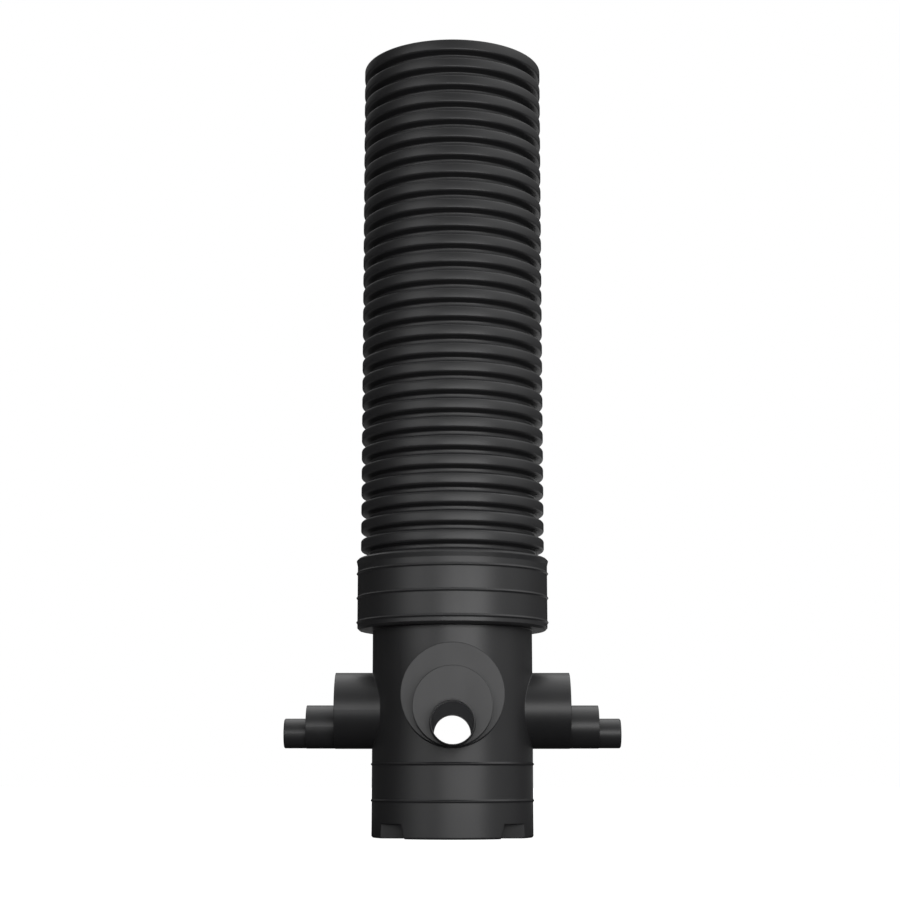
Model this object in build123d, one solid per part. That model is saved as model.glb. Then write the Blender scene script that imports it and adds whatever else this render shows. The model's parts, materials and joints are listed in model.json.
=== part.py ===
from build123d import *
import os

# Plastic catchpit chamber. A one-piece moulded base holds a sump, four stepped spigots and a
# socket collar, and a twinwall corrugated riser pipe stands in the collar on a rubber ring.
# Z is up and the base stands on z = 0. The front spigot points along -Y, the outlet along +Y.

# Sump and chamber wall of the base
BODY_R = 300.0
BODY_WALL = 8.0
FLOOR_THICKNESS = 10.0
BODY_RIB_HEIGHT = 4.3
BODY_RIB_WIDTH = 11.0
BODY_RIB_FIRST_Z = 134.0
BODY_RIB_PITCH = 132.0
BODY_RIB_COUNT = 2

# Four corner notches that leave a cross-shaped foot
FOOT_EDGE = 5.0
NOTCH_NEAR_X = 172.0
NOTCH_NEAR_Y = 147.0
NOTCH_HEIGHT = 52.0
NOTCH_DRAFT_X = 13.0
NOTCH_DRAFT_Y = 5.0

# Riser pipe: smooth bore, corrugated outside. Each groove narrows from its mouth to its floor.
RISER_BORE_R = 300.0
RISER_FLOOR_WALL = 13.4
RISER_RIB_DEPTH = 34.0
RISER_PITCH = 69.5
RISER_CROWN_COUNT = 32
GROOVE_WIDTH = 28.4
GROOVE_TAPER = 6.0
FIRST_CROWN_WIDTH = 51.9
TOP_CROWN_WIDTH = 42.9
TOP_EDGE = 5.0

# Socket collar of the base, sized from the riser that it takes
SOCKET_CLEARANCE = 2.6
COLLAR_WALL = 8.7
COLLAR_BASE_Z = 762.0
COLLAR_SHELF = 10.0
COLLAR_HEIGHT = 267.0
COLLAR_LOWER_EDGE = 8.0
COLLAR_RIB_HEIGHT = 4.3
COLLAR_RIB_WIDTH = 11.0
COLLAR_RIB_FIRST_OFFSET = 29.0
COLLAR_RIB_PITCH = 92.0
COLLAR_RIB_COUNT = 3
LIP_HEIGHT = 26.0
LIP_PROUD = 4.3
LIP_TOP_EDGE = 7.0

# Stepped spigots. The steps share one underside, apart from a small rise at each step.
SPIGOT_WALL = 5.5
OPEN_END_EDGE = 4.0
INVERT_Z = 322.0
STEP_RISE = 1.0
OUTLET_FALL = 14.0
STEP_370_R = 185.0
STEP_282_R = 141.0
STEP_160_R = 80.0
STEP_110_R = 55.0
MAIN_370_LENGTH = 100.0
MAIN_282_LENGTH = 95.0
MAIN_160_LENGTH = 90.0
SIDE_282_LENGTH = 137.0
SIDE_160_LENGTH = 107.0
SIDE_110_LENGTH = 83.0

# Rubber ring in one groove of the riser, inside the socket
SEAL_GROOVE_INDEX = 1
SEAL_SIDE_CLEARANCE = 0.5
SEAL_CLEARANCE = 0.3
SEAL_NOSE_WIDTH = 8.0

RISER_VALLEY_R = RISER_BORE_R + RISER_FLOOR_WALL
RISER_CROWN_R = RISER_VALLEY_R + RISER_RIB_DEPTH
SOCKET_R = RISER_CROWN_R + SOCKET_CLEARANCE
COLLAR_R = SOCKET_R + COLLAR_WALL
COLLAR_TOP_Z = COLLAR_BASE_Z + COLLAR_HEIGHT
SEAT_Z = COLLAR_BASE_Z + COLLAR_SHELF
BODY_BORE_R = BODY_R - BODY_WALL
GROOVE_COUNT = RISER_CROWN_COUNT - 1
FIRST_GROOVE_Z = SEAT_Z + FIRST_CROWN_WIDTH + GROOVE_WIDTH / 2
LAST_GROOVE_Z = FIRST_GROOVE_Z + (GROOVE_COUNT - 1) * RISER_PITCH
RISER_TOP_Z = LAST_GROOVE_Z + GROOVE_WIDTH / 2 + TOP_CROWN_WIDTH
SEAL_Z = FIRST_GROOVE_Z + SEAL_GROOVE_INDEX * RISER_PITCH


def turned(points):
    """Revolve a closed outline of (radius, height) points about the Z axis."""
    outline = Plane.XZ * Polyline(*points, close=True)
    return revolve(make_face(outline), Axis.Z)


def bead(wall_r, centre_z, height, width):
    """Outline points of one raised ring on a wall, from its lower foot to its upper foot."""
    return [
        (wall_r, centre_z - width / 2),
        (wall_r + height, centre_z),
        (wall_r, centre_z + width / 2),
    ]


def base_outside():
    """Foot, sump wall with its two beads, and the collar with its three beads and lip."""
    points = [(0, 0), (BODY_R - FOOT_EDGE, 0), (BODY_R, FOOT_EDGE)]
    for index in range(BODY_RIB_COUNT):
        centre_z = BODY_RIB_FIRST_Z + index * BODY_RIB_PITCH
        points += bead(BODY_R, centre_z, BODY_RIB_HEIGHT, BODY_RIB_WIDTH)
    points.append((BODY_R, COLLAR_BASE_Z))
    points.append((COLLAR_R - COLLAR_LOWER_EDGE, COLLAR_BASE_Z))
    points.append((COLLAR_R, COLLAR_BASE_Z + COLLAR_LOWER_EDGE))
    for index in range(COLLAR_RIB_COUNT):
        centre_z = COLLAR_BASE_Z + COLLAR_RIB_FIRST_OFFSET + index * COLLAR_RIB_PITCH
        points += bead(COLLAR_R, centre_z, COLLAR_RIB_HEIGHT, COLLAR_RIB_WIDTH)
    lip_r = COLLAR_R + LIP_PROUD
    points.append((COLLAR_R, COLLAR_TOP_Z - LIP_HEIGHT))
    points.append((lip_r, COLLAR_TOP_Z - LIP_TOP_EDGE))
    points.append((lip_r - LIP_TOP_EDGE, COLLAR_TOP_Z))
    points.append((0, COLLAR_TOP_Z))
    return turned(points)


def corner_blocks(wall):
    """Four drafted blocks outside the cross-shaped foot, grown on every side by a wall thickness."""
    far = BODY_R + BODY_RIB_HEIGHT
    near_x = NOTCH_NEAR_X - wall
    near_y = NOTCH_NEAR_Y - wall
    blocks = []
    for side in (1, -1):
        for end in (1, -1):
            ends = []
            for height, x, y in (
                (0, near_x, near_y),
                (NOTCH_HEIGHT + wall, near_x + NOTCH_DRAFT_X, near_y + NOTCH_DRAFT_Y),
            ):
                place = Pos(side * (far + x) / 2, end * (far + y) / 2, height)
                ends.append(place * Rectangle(far - x, far - y))
            blocks.append(loft(ends, ruled=True))
    return blocks


def chamber_cavity():
    """Sump and chamber inside: its floor follows the cross-shaped foot at one wall thickness."""
    height = SEAT_Z - FLOOR_THICKNESS
    cavity = Pos(0, 0, FLOOR_THICKNESS) * Cylinder(
        BODY_BORE_R, height, align=(Align.CENTER, Align.CENTER, Align.MIN)
    )
    return cavity - corner_blocks(BODY_WALL)


def socket_bore():
    """Socket that takes the riser, above the shelf that the riser stands on."""
    return Pos(0, 0, SEAT_Z) * Cylinder(
        SOCKET_R, COLLAR_TOP_Z - SEAT_Z, align=(Align.CENTER, Align.CENTER, Align.MIN)
    )


def round_bar(radius, reach, underside_z, edge):
    """Bar along +X from the chamber's axis, with its underside at a height and its end edge broken."""
    points = [(0, 0), (reach, 0), (reach, radius - edge)]
    if edge:
        points.append((reach - edge, radius))
    points.append((0, radius))
    outline = make_face(Polyline(*points, close=True))
    return Pos(0, 0, underside_z + radius) * revolve(outline, Axis.X)


def spigot_steps(lengths_and_radii):
    """Turn each step's own length into its reach from the chamber's axis."""
    reach = BODY_R
    steps = []
    for length, radius in lengths_and_radii:
        reach += length
        steps.append((reach, radius))
    return steps


def stepped_spigot(steps, invert_z, angle):
    """Outside and inside of one stepped spigot, pointing at an angle from +X."""
    outside = []
    inside = []
    for index, (reach, radius) in enumerate(steps):
        underside_z = invert_z + index * STEP_RISE
        is_open_end = index == len(steps) - 1
        edge = OPEN_END_EDGE if is_open_end else 0
        inner_reach = reach + SPIGOT_WALL if is_open_end else reach - SPIGOT_WALL
        outside.append(round_bar(radius, reach, underside_z, edge))
        inside.append(round_bar(radius - SPIGOT_WALL, inner_reach, underside_z + SPIGOT_WALL, 0))
    turn = Rot(0, 0, angle)
    return [turn * bar for bar in outside], [turn * bore for bore in inside]


def base_chamber():
    """The whole base moulding: sump, chamber, collar and four stepped spigots."""
    main_steps = spigot_steps([
        (MAIN_370_LENGTH, STEP_370_R),
        (MAIN_282_LENGTH, STEP_282_R),
        (MAIN_160_LENGTH, STEP_160_R),
    ])
    side_steps = spigot_steps([
        (SIDE_282_LENGTH, STEP_282_R),
        (SIDE_160_LENGTH, STEP_160_R),
        (SIDE_110_LENGTH, STEP_110_R),
    ])
    spigots = [
        stepped_spigot(side_steps, INVERT_Z, 0),
        stepped_spigot(side_steps, INVERT_Z, 180),
        stepped_spigot(main_steps, INVERT_Z, -90),
        stepped_spigot(main_steps, INVERT_Z - OUTLET_FALL, 90),
    ]
    shell = base_outside() - corner_blocks(0)
    for outside, inside in spigots:
        shell = shell + outside
    shell = shell - chamber_cavity() - socket_bore()
    for outside, inside in spigots:
        shell = shell - inside
    return shell


def riser_pipe():
    """Corrugated riser: crowns and flat-floored grooves outside, one smooth bore inside."""
    points = [(RISER_BORE_R, SEAT_Z), (RISER_CROWN_R, SEAT_Z)]
    for index in range(GROOVE_COUNT):
        lower_z = FIRST_GROOVE_Z + index * RISER_PITCH - GROOVE_WIDTH / 2
        upper_z = lower_z + GROOVE_WIDTH
        points.append((RISER_CROWN_R, lower_z))
        points.append((RISER_VALLEY_R, lower_z + GROOVE_TAPER))
        points.append((RISER_VALLEY_R, upper_z - GROOVE_TAPER))
        points.append((RISER_CROWN_R, upper_z))
    points.append((RISER_CROWN_R, RISER_TOP_Z - TOP_EDGE))
    points.append((RISER_CROWN_R - TOP_EDGE, RISER_TOP_Z))
    points.append((RISER_BORE_R, RISER_TOP_Z))
    return turned(points)


def riser_seal():
    """Rubber ring that fills one groove of the riser and bears on the socket wall."""
    inner_r = RISER_VALLEY_R + SEAL_CLEARANCE
    outer_r = SOCKET_R - SEAL_CLEARANCE
    half_width = GROOVE_WIDTH / 2 - SEAL_SIDE_CLEARANCE
    half_foot = half_width - GROOVE_TAPER
    return turned([
        (inner_r, SEAL_Z - half_foot),
        (RISER_CROWN_R, SEAL_Z - half_width),
        (outer_r, SEAL_Z - SEAL_NOSE_WIDTH / 2),
        (outer_r, SEAL_Z + SEAL_NOSE_WIDTH / 2),
        (RISER_CROWN_R, SEAL_Z + half_width),
        (inner_r, SEAL_Z + half_foot),
    ])


os.makedirs("parts", exist_ok=True)
export_step(base_chamber(), "parts/base_chamber.step")
export_step(riser_pipe(), "parts/riser_pipe.step")
export_step(riser_seal(), "parts/riser_seal.step")
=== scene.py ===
import json
import math

import bmesh
import bpy
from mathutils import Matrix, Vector


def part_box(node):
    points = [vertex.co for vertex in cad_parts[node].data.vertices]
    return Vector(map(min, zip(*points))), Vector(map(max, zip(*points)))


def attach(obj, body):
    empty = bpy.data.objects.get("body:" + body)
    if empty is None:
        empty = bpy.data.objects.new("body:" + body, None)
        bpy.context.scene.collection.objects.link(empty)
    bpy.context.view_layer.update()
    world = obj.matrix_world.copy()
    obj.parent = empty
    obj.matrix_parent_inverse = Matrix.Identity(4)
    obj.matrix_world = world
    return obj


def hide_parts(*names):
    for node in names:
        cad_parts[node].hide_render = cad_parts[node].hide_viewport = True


bl_info = {
    "name": "Catchpit chamber",
    "version": (1, 0, 0),
    "blender": (4, 5, 0),
    "location": "View3D > Sidebar > Catchpit",
    "description": "Dresses a plastic catchpit chamber and sets its studio",
    "category": "Object",
}

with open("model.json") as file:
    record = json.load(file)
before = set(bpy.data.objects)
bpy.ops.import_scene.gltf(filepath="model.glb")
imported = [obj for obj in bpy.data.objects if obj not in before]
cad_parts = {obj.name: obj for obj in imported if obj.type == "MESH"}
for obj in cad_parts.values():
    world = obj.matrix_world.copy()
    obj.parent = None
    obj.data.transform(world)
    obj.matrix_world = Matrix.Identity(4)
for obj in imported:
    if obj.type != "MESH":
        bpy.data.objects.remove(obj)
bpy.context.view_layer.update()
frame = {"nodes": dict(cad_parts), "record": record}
MOUNTS = {mount["name"]: mount for mount in frame["record"]["mounts"]}
RISER_LOW, RISER_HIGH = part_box("riser_pipe")
MM = 0.001

# Outline of the riser. Half a step keeps a comparison of whole numbers clear of rounding.
GROOVE_CORNERS = 4.0
END_CORNERS = 2.0
HALF_STEP = 0.5
MIDDLE_OF_GROOVE = (GROOVE_CORNERS - 1.0) / 2
BORE_ROUNDING_SHARE = 0.35
FILLET_POINTS = 4

# Finish of the riser's mesh
MERGE_DISTANCE = 0.02 * MM
SMOOTH_UP_TO = math.radians(40.0)

# Patterns in the plastic: clouds and streaks of tone and sheen, grain and pores in its relief
CLOUD_SCALE = 3.2
CLOUD_TONE = 0.22
CLOUD_SHEEN = 0.14
STREAK_SCALE = (14.0, 14.0, 1.1)
STREAK_TONE = 0.16
STREAK_SHEEN = 0.06
GRAIN_SCALE = 420.0
PORE_SCALE = 260.0
PORE_SHARE = 0.35
RELIEF_STRENGTH = 0.25
RELIEF_DEPTH = 0.6 * MM
PLASTIC_IOR = 1.49

# How plainly the streaks of the moulding show on each piece
BASE_STREAKS = 1.0
RISER_STREAKS = 0.3
RING_STREAKS = 0.5

# Lamps, in metres
KEY_PLACE = (1.8, -6.8, 1.2)
KEY_TARGET = (0.0, 0.0, 0.9)
KEY_SIZE = (7.6, 2.6)
SUMP_LAMP_PLACE = (0.0, 0.0, 0.16)
SUMP_LAMP_RADIUS = 0.14

# Floor, in metres: its shade and glow to the camera, and the light it throws from behind
FLOOR_REACH = 30.0
FLOOR_SHADE_SEEN = 0.45
FLOOR_SHADE_UNSEEN = 0.03
FLOOR_GLOW_SEEN = 0.9
POOL_CENTRE = (4.0, 10.0, 0.0)
POOL_INNER = 3.0
POOL_OUTER = 8.0
POOL_GLOW = 0.95
REAR_START = 1.0
REAR_FULL = 3.5
REAR_GLOW = 0.1

# Broad lobes of light round the studio: azimuth and elevation in degrees, sharpness, strength.
LIGHT_LOBES = (
    (-42.0, 3.0, 14.0, 2.7),
    (38.0, 6.0, 20.0, 0.7),
    (80.0, 3.0, 14.0, 0.6),
    (60.0, 38.0, 8.0, 1.2),
    (120.0, 38.0, 8.0, 0.3),
    (180.0, 62.0, 12.0, 1.5),
    (-150.0, 42.0, 24.0, 0.8),
    (100.0, 46.0, 20.0, 1.0),
    (0.0, 90.0, 8.0, 1.6),
)
EVEN_LIGHT = 0.01
WHITE = (1.0, 1.0, 1.0, 1.0)


def length(name, description, default):
    """A size in metres for the sidebar."""
    return bpy.props.FloatProperty(
        name=name, description=description, default=default, min=0.0, unit="LENGTH"
    )


def colour(name, description, default):
    """A plain colour for the sidebar."""
    return bpy.props.FloatVectorProperty(
        name=name, description=description, default=default, size=3, min=0.0, max=1.0, subtype="COLOR"
    )


def amount(name, description, default):
    """A plain number from nought upwards for the sidebar."""
    return bpy.props.FloatProperty(name=name, description=description, default=default, min=0.0)


class CatchpitRiser(bpy.types.PropertyGroup):
    """Sizes of the corrugated riser."""

    bore_radius: length("Bore radius", "Inside of the riser", MOUNTS["riser_bore"]["dims"]["r_mm"] * MM)
    valley_radius: length("Groove radius", "Floor of the grooves", 313.4 * MM)
    crown_radius: length("Crown radius", "Outside of the ribs", RISER_HIGH[0])
    bottom_z: length("Bottom", "Height of the riser's lower end", RISER_LOW[2])
    top_z: length("Top", "Height of the riser's upper end", RISER_HIGH[2])
    first_groove: length("First groove", "From the lower end to the middle of the first groove", 66.1 * MM)
    pitch: length("Pitch", "From one groove to the next", 69.5 * MM)
    groove_width: length("Groove width", "Width of a groove at its mouth", 28.4 * MM)
    groove_taper: length("Groove taper", "How far each wall leans in from mouth to floor", 6.0 * MM)
    crown_rounding: length("Crown rounding", "Rounding of the outer edges of the ribs", 10.0 * MM)
    groove_rounding: length("Groove rounding", "Rounding at the floor of the grooves", 5.0 * MM)
    rim_rounding: length("Rim rounding", "Rounding at the cut ends", 4.0 * MM)
    groove_count: bpy.props.IntProperty(
        name="Grooves", description="How many grooves the riser has", default=31, min=1, max=80
    )
    segments: bpy.props.IntProperty(
        name="Segments", description="Faces around the riser", default=144, min=24, max=256
    )


class CatchpitPlastic(bpy.types.PropertyGroup):
    """Look of the plastic and the rubber."""

    base_colour: colour("Base colour", "Colour of the moulded base", (0.020, 0.020, 0.021))
    riser_colour: colour("Riser colour", "Colour of the riser pipe", (0.021, 0.021, 0.022))
    ring_colour: colour("Ring colour", "Colour of the rubber ring", (0.020, 0.020, 0.020))
    roughness: bpy.props.FloatProperty(
        name="Roughness", description="How matt the plastic is", default=0.40, min=0.0, max=1.0,
        subtype="FACTOR",
    )
    edge_radius: length("Edge radius", "Soft edges of the moulding", 5.0 * MM)


class CatchpitStage(bpy.types.PropertyGroup):
    """Camera and light."""

    camera_distance: length("Camera distance", "From the lens to the riser's axis", 6.8572)
    camera_height: length("Camera height", "Height of the lens above the floor", 0.219)
    camera_offset: bpy.props.FloatProperty(
        name="Camera offset", description="Sideways place of the lens", default=-0.0091, unit="LENGTH"
    )
    camera_pitch: bpy.props.FloatProperty(
        name="Camera pitch", description="How far the camera looks up", default=math.radians(10.219),
        subtype="ANGLE",
    )
    sensor: amount("Sensor", "Width of the camera's frame in millimetres", 36.0)
    lens: amount("Lens", "Focal length in millimetres", 72.56)
    key_power: amount("Key power", "Power of the large front light in watts", 266.0)
    sump_power: amount("Sump power", "Power of the faint lamp inside the chamber in watts", 20.0)
    sky_strength: amount("Sky strength", "Strength of the soft light from all round", 1.0)


class Nodes:
    """Short calls for building one node tree."""

    def __init__(self, tree):
        self.tree = tree

    def add(self, kind, inputs=None, **settings):
        """Add a node, with its settings and with a value or a link for each input that is named."""
        node = self.tree.nodes.new(kind)
        for name, value in settings.items():
            setattr(node, name, value)
        for key, value in (inputs or {}).items():
            self.put(node.inputs[key], value)
        return node

    def put(self, socket, value):
        """Link a socket into an input, or set a plain value there."""
        if isinstance(value, bpy.types.NodeSocket):
            self.tree.links.new(value, socket)
        else:
            socket.default_value = value

    def math(self, operation, *values):
        """Output of one Math node."""
        node = self.tree.nodes.new("ShaderNodeMath")
        node.operation = operation
        for socket, value in zip(node.inputs, values):
            self.put(socket, value)
        return node.outputs[0]

    def choose(self, test, yes, no):
        """Output of one Switch node: yes where the test holds, and no elsewhere."""
        inputs = {"Switch": test, "True": yes, "False": no}
        return self.add("GeometryNodeSwitch", inputs, input_type="FLOAT").outputs[0]


def shader_group(name, inputs, outputs):
    """A shader node group with its sockets: (name, type, default) in, (name, type) out."""
    group = bpy.data.node_groups.new(name, "ShaderNodeTree")
    for label, kind, default in inputs:
        socket = group.interface.new_socket(label, in_out="INPUT", socket_type=kind)
        socket.default_value = default
    for label, kind in outputs:
        group.interface.new_socket(label, in_out="OUTPUT", socket_type=kind)
    make = Nodes(group)
    return group, make, make.add("NodeGroupInput"), make.add("NodeGroupOutput")


def moulded_surface_group():
    """Colour, roughness and relief of satin moulded plastic, from object coordinates."""
    group, make, given, result = shader_group(
        "moulded_surface",
        [
            ("Colour", "NodeSocketColor", (0.02, 0.02, 0.02, 1.0)),
            ("Roughness", "NodeSocketFloat", 0.40),
            ("Grain", "NodeSocketFloat", 0.12),
            ("Streaks", "NodeSocketFloat", BASE_STREAKS),
        ],
        [("Colour", "NodeSocketColor"), ("Roughness", "NodeSocketFloat"), ("Height", "NodeSocketFloat")],
    )
    place = make.add("ShaderNodeTexCoord").outputs["Object"]
    cloud_noise = make.add(
        "ShaderNodeTexNoise", {"Vector": place, "Scale": CLOUD_SCALE, "Detail": 4.0, "Roughness": 0.55}
    )
    streak_place = make.add("ShaderNodeMapping", {"Vector": place, "Scale": STREAK_SCALE}).outputs[0]
    streak_noise = make.add(
        "ShaderNodeTexNoise", {"Vector": streak_place, "Scale": 1.0, "Detail": 3.0, "Roughness": 0.6}
    )
    grain = make.add(
        "ShaderNodeTexNoise", {"Vector": place, "Scale": GRAIN_SCALE, "Detail": 3.0, "Roughness": 0.6}
    )
    pores = make.add("ShaderNodeTexVoronoi", {"Vector": place, "Scale": PORE_SCALE})

    cloud = make.math("SUBTRACT", cloud_noise.outputs[0], 0.5)
    streak = make.math("SUBTRACT", streak_noise.outputs[0], 0.5)
    streak = make.math("MULTIPLY", streak, given.outputs["Streaks"])
    tone = make.math("MULTIPLY_ADD", cloud, CLOUD_TONE, 1.0)
    tone = make.math("MULTIPLY_ADD", streak, STREAK_TONE, tone)
    shade = make.add(
        "ShaderNodeVectorMath", {0: given.outputs["Colour"], "Scale": tone}, operation="SCALE"
    )
    sheen = make.math("MULTIPLY_ADD", cloud, CLOUD_SHEEN, given.outputs["Roughness"])
    sheen = make.math("MULTIPLY_ADD", streak, STREAK_SHEEN, sheen)
    relief = make.math("MULTIPLY_ADD", pores.outputs["Distance"], PORE_SHARE, grain.outputs[0])
    relief = make.math("MULTIPLY", relief, given.outputs["Grain"])
    make.put(result.inputs["Colour"], shade.outputs[0])
    make.put(result.inputs["Roughness"], sheen)
    make.put(result.inputs["Height"], relief)
    return group


def moulded_material(name, tint, roughness, streaks, edge_radius=0.0):
    """Satin black plastic or rubber with grain, faint streaks and, where asked for, soft edges."""
    material = bpy.data.materials.new(name)
    material.use_nodes = True
    material.diffuse_color = (*tint, 1.0)
    material.node_tree.nodes.clear()
    make = Nodes(material.node_tree)
    surface = make.add(
        "ShaderNodeGroup", node_tree=bpy.data.node_groups.get("moulded_surface") or moulded_surface_group()
    )
    make.put(surface.inputs["Colour"], (*tint, 1.0))
    make.put(surface.inputs["Roughness"], roughness)
    make.put(surface.inputs["Streaks"], streaks)
    relief = make.add(
        "ShaderNodeBump",
        {"Height": surface.outputs["Height"], "Strength": RELIEF_STRENGTH, "Distance": RELIEF_DEPTH},
    )
    if edge_radius > 0.0:
        soft_edges = make.add("ShaderNodeBevel", {"Radius": edge_radius}, samples=8)
        make.put(relief.inputs["Normal"], soft_edges.outputs[0])
    shader = make.add(
        "ShaderNodeBsdfPrincipled",
        {
            "Base Color": surface.outputs["Colour"],
            "Roughness": surface.outputs["Roughness"],
            "IOR": PLASTIC_IOR,
            "Normal": relief.outputs[0],
        },
    )
    make.add("ShaderNodeOutputMaterial", {"Surface": shader.outputs[0]})
    return material


def dress_node(name, material):
    """Give one CAD node its material."""
    mesh = frame["nodes"][name].data
    mesh.materials.clear()
    mesh.materials.append(material)


def grooved_outline(make, given):
    """Half section of the riser as a closed curve, worked out corner by corner from the index."""
    corner_count = make.math("MULTIPLY_ADD", given["Grooves"], GROOVE_CORNERS, 2 * END_CORNERS)
    last = make.math("SUBTRACT", corner_count, 1.0)
    line = make.add("GeometryNodeMeshLine", {"Count": corner_count})
    index = make.add("GeometryNodeInputIndex").outputs[0]
    step = make.math("SUBTRACT", index, END_CORNERS)
    groove = make.math("FLOOR", make.math("DIVIDE", step, GROOVE_CORNERS))
    corner = make.math("FLOORED_MODULO", step, GROOVE_CORNERS)
    from_middle = make.math("SUBTRACT", corner, MIDDLE_OF_GROOVE)
    in_upper_half = make.math("GREATER_THAN", from_middle, 0.0)
    at_floor = make.math("LESS_THAN", make.math("ABSOLUTE", from_middle), 1.0)
    at_bottom = make.math("LESS_THAN", index, END_CORNERS - HALF_STEP)
    at_top = make.math("GREATER_THAN", index, make.math("SUBTRACT", last, END_CORNERS - HALF_STEP))
    at_first = make.math("LESS_THAN", index, HALF_STEP)
    at_last = make.math("GREATER_THAN", index, make.math("SUBTRACT", last, HALF_STEP))
    at_bore = make.math("MAXIMUM", at_first, at_last)
    at_end = make.math("MAXIMUM", at_bottom, at_top)

    lean = make.math("MULTIPLY", make.math("MULTIPLY", at_floor, given["Groove taper"]), 2.0)
    width = make.math("SUBTRACT", given["Groove width"], lean)
    side = make.math("MULTIPLY", make.math("SUBTRACT", in_upper_half, 0.5), width)
    first_middle = make.math("ADD", given["Bottom"], given["First groove"])
    middle = make.math("MULTIPLY_ADD", groove, given["Pitch"], first_middle)
    height = make.math("ADD", middle, side)
    height = make.choose(at_bottom, given["Bottom"], height)
    height = make.choose(at_top, given["Top"], height)

    radius = make.choose(at_floor, given["Valley radius"], given["Crown radius"])
    radius = make.choose(at_end, given["Crown radius"], radius)
    radius = make.choose(at_bore, given["Bore radius"], radius)

    bore_rounding = make.math("MULTIPLY", given["Rim rounding"], BORE_ROUNDING_SHARE)
    rounding = make.choose(at_floor, given["Groove rounding"], given["Crown rounding"])
    rounding = make.choose(at_end, given["Rim rounding"], rounding)
    rounding = make.choose(at_bore, bore_rounding, rounding)

    outward = make.math("SUBTRACT", radius, given["Crown radius"])
    downward = make.math("MULTIPLY", height, -1.0)
    place = make.add("ShaderNodeCombineXYZ", {"X": outward, "Y": downward}).outputs[0]
    outline = make.add("GeometryNodeSetPosition", {"Geometry": line.outputs[0], "Position": place})
    outline = make.add("GeometryNodeMeshToCurve", {"Mesh": outline.outputs[0]})
    outline = make.add("GeometryNodeSetSplineCyclic", {"Geometry": outline.outputs[0], "Cyclic": True})
    outline = make.add(
        "GeometryNodeFilletCurve",
        {"Curve": outline.outputs[0], "Radius": rounding, "Limit Radius": True},
        mode="POLY",
    )
    make.put(outline.inputs["Count"], FILLET_POINTS)
    return outline.outputs[0]


def riser_tree():
    """Geometry nodes that turn a grooved outline into the whole riser."""
    tree = bpy.data.node_groups.new("grooved_riser", "GeometryNodeTree")
    sizes = (
        "Bore radius",
        "Valley radius",
        "Crown radius",
        "Bottom",
        "Top",
        "First groove",
        "Pitch",
        "Groove width",
        "Groove taper",
        "Crown rounding",
        "Groove rounding",
        "Rim rounding",
    )
    wanted = [(label, "NodeSocketFloat") for label in sizes]
    wanted += [("Grooves", "NodeSocketInt"), ("Segments", "NodeSocketInt")]
    wanted += [("Plastic", "NodeSocketMaterial")]
    for label, kind in wanted:
        tree.interface.new_socket(label, in_out="INPUT", socket_type=kind)
    tree.interface.new_socket("Geometry", in_out="OUTPUT", socket_type="NodeSocketGeometry")
    make = Nodes(tree)
    given = make.add("NodeGroupInput").outputs
    result = make.add("NodeGroupOutput")

    ring = make.add(
        "GeometryNodeCurvePrimitiveCircle",
        {"Resolution": given["Segments"], "Radius": given["Crown radius"]},
    )
    outline = grooved_outline(make, given)
    spun = make.add("GeometryNodeCurveToMesh", {"Curve": ring.outputs[0], "Profile Curve": outline})
    spun = make.add("GeometryNodeRealizeInstances", {"Geometry": spun.outputs[0]})
    spun = make.add("GeometryNodeSetMaterial", {"Geometry": spun.outputs[0], "Material": given["Plastic"]})
    make.put(result.inputs[0], spun.outputs[0])
    return tree


def baked(name, tree, values):
    """Run a geometry node tree with its inputs set, and keep the outcome as a plain mesh."""
    holder = bpy.data.objects.new(name, bpy.data.meshes.new(name))
    bpy.context.scene.collection.objects.link(holder)
    modifier = holder.modifiers.new("build", "NODES")
    modifier.node_group = tree
    for item in tree.interface.items_tree:
        if item.item_type == "SOCKET" and item.in_out == "INPUT":
            modifier[item.identifier] = values[item.name]
    graph = bpy.context.evaluated_depsgraph_get()
    graph.update()
    mesh = bpy.data.meshes.new_from_object(holder.evaluated_get(graph), depsgraph=graph)
    holder.modifiers.remove(modifier)
    holder.data = mesh
    mesh.name = name
    return holder


def finish_mesh(piece):
    """Merge doubles, turn the normals outwards and shade smooth up to an angle."""
    work = bmesh.new()
    work.from_mesh(piece.data)
    bmesh.ops.remove_doubles(work, verts=work.verts, dist=MERGE_DISTANCE)
    bmesh.ops.recalc_face_normals(work, faces=work.faces)
    work.to_mesh(piece.data)
    work.free()
    piece.data.shade_smooth()
    piece.data.set_sharp_from_angle(angle=SMOOTH_UP_TO)


class CATCHPIT_OT_riser(bpy.types.Operator):
    """Build the corrugated riser with rounded ribs"""

    bl_idname = "catchpit.riser"
    bl_label = "Corrugated riser"

    def execute(self, context):
        sizes = context.scene.catchpit_riser
        look = context.scene.catchpit_plastic
        values = {
            "Bore radius": sizes.bore_radius,
            "Valley radius": sizes.valley_radius,
            "Crown radius": sizes.crown_radius,
            "Bottom": sizes.bottom_z,
            "Top": sizes.top_z,
            "First groove": sizes.first_groove,
            "Pitch": sizes.pitch,
            "Groove width": sizes.groove_width,
            "Groove taper": sizes.groove_taper,
            "Crown rounding": sizes.crown_rounding,
            "Groove rounding": sizes.groove_rounding,
            "Rim rounding": sizes.rim_rounding,
            "Grooves": sizes.groove_count,
            "Segments": sizes.segments,
            "Plastic": moulded_material(
                "riser_plastic", look.riser_colour, look.roughness, RISER_STREAKS
            ),
        }
        riser = baked("corrugated_riser", riser_tree(), values)
        finish_mesh(riser)
        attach(riser, "root")
        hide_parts("riser_pipe")
        return {"FINISHED"}


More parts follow.
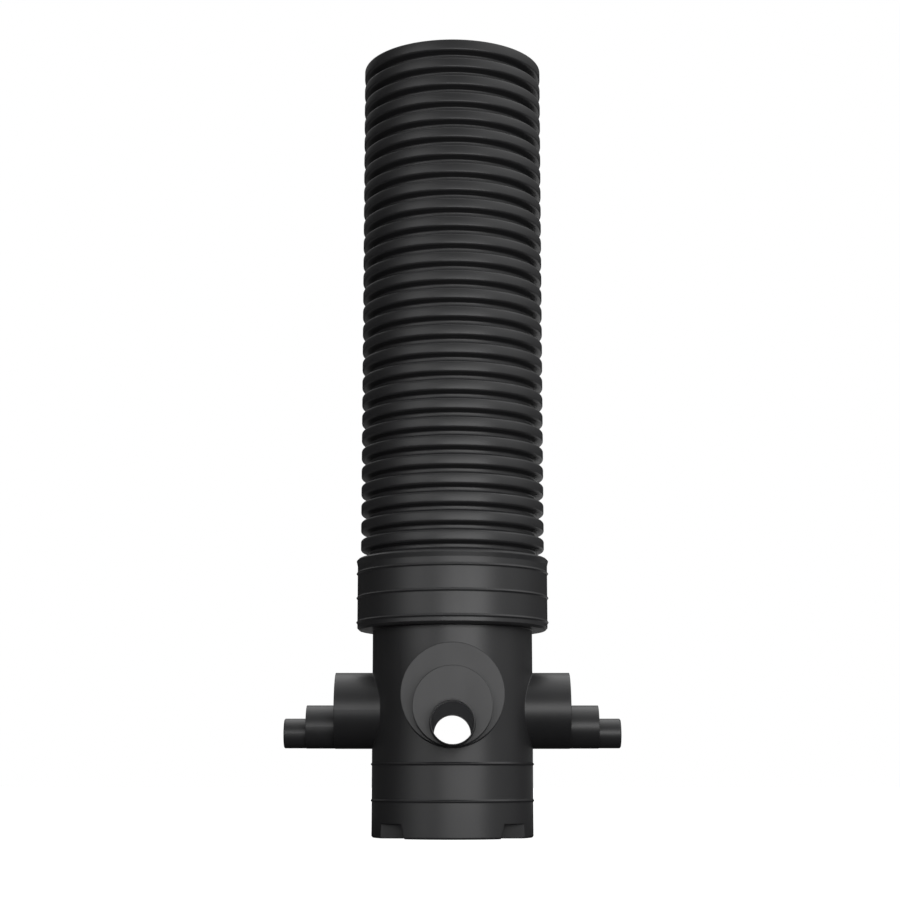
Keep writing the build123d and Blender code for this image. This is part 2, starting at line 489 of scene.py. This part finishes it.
class CATCHPIT_OT_base(bpy.types.Operator):
    """Give the moulded base and the rubber ring their materials"""

    bl_idname = "catchpit.base"
    bl_label = "Moulded base"

    def execute(self, context):
        look = context.scene.catchpit_plastic
        base = moulded_material(
            "base_plastic", look.base_colour, look.roughness, BASE_STREAKS, look.edge_radius
        )
        ring = moulded_material("seal_rubber", look.ring_colour, look.roughness, RING_STREAKS)
        dress_node("base_chamber", base)
        dress_node("riser_seal", ring)
        return {"FINISHED"}


def stage_object(name, data, place):
    """Put one lamp, camera or mesh into the scene."""
    thing = bpy.data.objects.new(name, data)
    thing.location = place
    bpy.context.scene.collection.objects.link(thing)
    return thing


def key_light(power):
    """Large soft light in front of the object, a little to the right."""
    data = bpy.data.lights.new("key", "AREA")
    data.shape = "RECTANGLE"
    data.size, data.size_y = KEY_SIZE
    data.energy = power
    light = stage_object("key", data, KEY_PLACE)
    towards = Vector(KEY_TARGET) - Vector(KEY_PLACE)
    light.rotation_euler = towards.to_track_quat("-Z", "Y").to_euler()


def sump_lamp(power):
    """Faint lamp low in the sump, so that the inside seen through the spigots isn't black."""
    data = bpy.data.lights.new("sump_lamp", "POINT")
    data.shadow_soft_size = SUMP_LAMP_RADIUS
    data.energy = power
    lamp = stage_object("sump_lamp", data, SUMP_LAMP_PLACE)
    lamp.visible_glossy = False


def floor_material():
    """White floor that shows a soft shadow to the camera, and throws light from behind the object."""
    material = bpy.data.materials.new("studio_floor")
    material.use_nodes = True
    material.node_tree.nodes.clear()
    make = Nodes(material.node_tree)
    seen = make.add("ShaderNodeLightPath").outputs["Is Camera Ray"]
    shade = make.math("MULTIPLY_ADD", seen, FLOOR_SHADE_SEEN - FLOOR_SHADE_UNSEEN, FLOOR_SHADE_UNSEEN)
    tint = make.add("ShaderNodeCombineColor", {"Red": shade, "Green": shade, "Blue": shade})
    matt = make.add("ShaderNodeBsdfDiffuse", {"Color": tint.outputs[0]})

    place = make.add("ShaderNodeTexCoord").outputs["Object"]
    away = make.add("ShaderNodeVectorMath", {0: place, 1: POOL_CENTRE}, operation="DISTANCE")
    pool = make.add(
        "ShaderNodeMapRange",
        {
            "Value": away.outputs["Value"],
            "From Min": POOL_INNER,
            "From Max": POOL_OUTER,
            "To Min": POOL_GLOW,
            "To Max": 0.0,
        },
        interpolation_type="SMOOTHSTEP",
    )
    depth = make.add("ShaderNodeSeparateXYZ", {"Vector": place})
    rear = make.add(
        "ShaderNodeMapRange",
        {
            "Value": depth.outputs["Y"],
            "From Min": REAR_START,
            "From Max": REAR_FULL,
            "To Min": 0.0,
            "To Max": REAR_GLOW,
        },
    )
    thrown = make.math("MAXIMUM", pool.outputs["Result"], rear.outputs["Result"])
    thrown = make.math("MULTIPLY", make.math("SUBTRACT", 1.0, seen), thrown)
    strength = make.math("MULTIPLY_ADD", seen, FLOOR_GLOW_SEEN, thrown)
    glow = make.add("ShaderNodeEmission", {"Color": WHITE, "Strength": strength})
    both = make.add("ShaderNodeAddShader", {0: matt.outputs[0], 1: glow.outputs[0]})
    make.add("ShaderNodeOutputMaterial", {"Surface": both.outputs[0]})
    return material


def studio_floor():
    """Flat square floor under the object."""
    mesh = bpy.data.meshes.new("studio_floor")
    reach = FLOOR_REACH
    corners = [(-reach, -reach, 0.0), (reach, -reach, 0.0), (reach, reach, 0.0), (-reach, reach, 0.0)]
    mesh.from_pydata(corners, [], [(0, 1, 2, 3)])
    mesh.materials.append(floor_material())
    stage_object("studio_floor", mesh, (0.0, 0.0, 0.0))


def heading(azimuth, elevation):
    """Unit vector from degrees: azimuth 0 points at the camera and 90 to its right."""
    turn = math.radians(azimuth)
    rise = math.radians(elevation)
    return (math.sin(turn) * math.cos(rise), -math.cos(turn) * math.cos(rise), math.sin(rise))


def studio_world(strength):
    """White behind the object, and soft light from broad lobes round the studio."""
    world = bpy.data.worlds.new("studio")
    world.use_nodes = True
    world.node_tree.nodes.clear()
    make = Nodes(world.node_tree)
    seen = make.add("ShaderNodeLightPath").outputs["Is Camera Ray"]
    way = make.add("ShaderNodeTexCoord").outputs["Generated"]
    total = EVEN_LIGHT
    for azimuth, elevation, sharpness, power in LIGHT_LOBES:
        towards = make.add(
            "ShaderNodeVectorMath", {0: way, 1: heading(azimuth, elevation)}, operation="DOT_PRODUCT"
        )
        facing = make.math("MAXIMUM", towards.outputs["Value"], 0.0)
        total = make.math("MULTIPLY_ADD", make.math("POWER", facing, sharpness), power, total)
    light = make.math("MULTIPLY", total, strength)
    unseen = make.math("MULTIPLY", make.math("SUBTRACT", 1.0, seen), light)
    sky = make.add("ShaderNodeBackground", {"Color": WHITE, "Strength": make.math("ADD", unseen, seen)})
    make.add("ShaderNodeOutputWorld", {"Surface": sky.outputs[0]})
    return world


def studio_camera(stage):
    """Low camera in front of the object that looks a little upwards."""
    data = bpy.data.cameras.new("camera")
    data.sensor_width = stage.sensor
    data.lens = stage.lens
    place = (stage.camera_offset, -stage.camera_distance, stage.camera_height)
    camera = stage_object("camera", data, place)
    camera.rotation_euler = (math.pi / 2 + stage.camera_pitch, 0.0, 0.0)
    return camera


class CATCHPIT_OT_stage(bpy.types.Operator):
    """Set the floor, the lights and the camera"""

    bl_idname = "catchpit.stage"
    bl_label = "Studio"

    def execute(self, context):
        scene = context.scene
        stage = scene.catchpit_stage
        studio_floor()
        scene.world = studio_world(stage.sky_strength)
        scene.view_settings.view_transform = "Standard"
        key_light(stage.key_power)
        sump_lamp(stage.sump_power)
        scene.camera = studio_camera(stage)
        return {"FINISHED"}


class CATCHPIT_PT_panel(bpy.types.Panel):
    """Lists the pieces and their sizes."""

    bl_idname = "CATCHPIT_PT_panel"
    bl_label = "Catchpit chamber"
    bl_space_type = "VIEW_3D"
    bl_region_type = "UI"
    bl_category = "Catchpit"

    def draw(self, context):
        for operator in OPERATORS:
            self.layout.operator(operator.bl_idname)
        for name, group in GROUPS.items():
            box = self.layout.box()
            settings = getattr(context.scene, name)
            for key in group.__annotations__:
                box.prop(settings, key)


GROUPS = {
    "catchpit_riser": CatchpitRiser,
    "catchpit_plastic": CatchpitPlastic,
    "catchpit_stage": CatchpitStage,
}
OPERATORS = (CATCHPIT_OT_riser, CATCHPIT_OT_base, CATCHPIT_OT_stage)


def register():
    """Register the settings, the operators and the panel."""
    for name, group in GROUPS.items():
        bpy.utils.register_class(group)
        setattr(bpy.types.Scene, name, bpy.props.PointerProperty(type=group))
    for kind in (*OPERATORS, CATCHPIT_PT_panel):
        bpy.utils.register_class(kind)


def unregister():
    """Take out what register put in."""
    for kind in (CATCHPIT_PT_panel, *reversed(OPERATORS)):
        bpy.utils.unregister_class(kind)
    for name, group in GROUPS.items():
        delattr(bpy.types.Scene, name)
        bpy.utils.unregister_class(group)


def main():
    """Build every piece and the stage."""
    register()
    bpy.ops.catchpit.riser()
    bpy.ops.catchpit.base()
    bpy.ops.catchpit.stage()


if __name__ == "__main__":
    main()
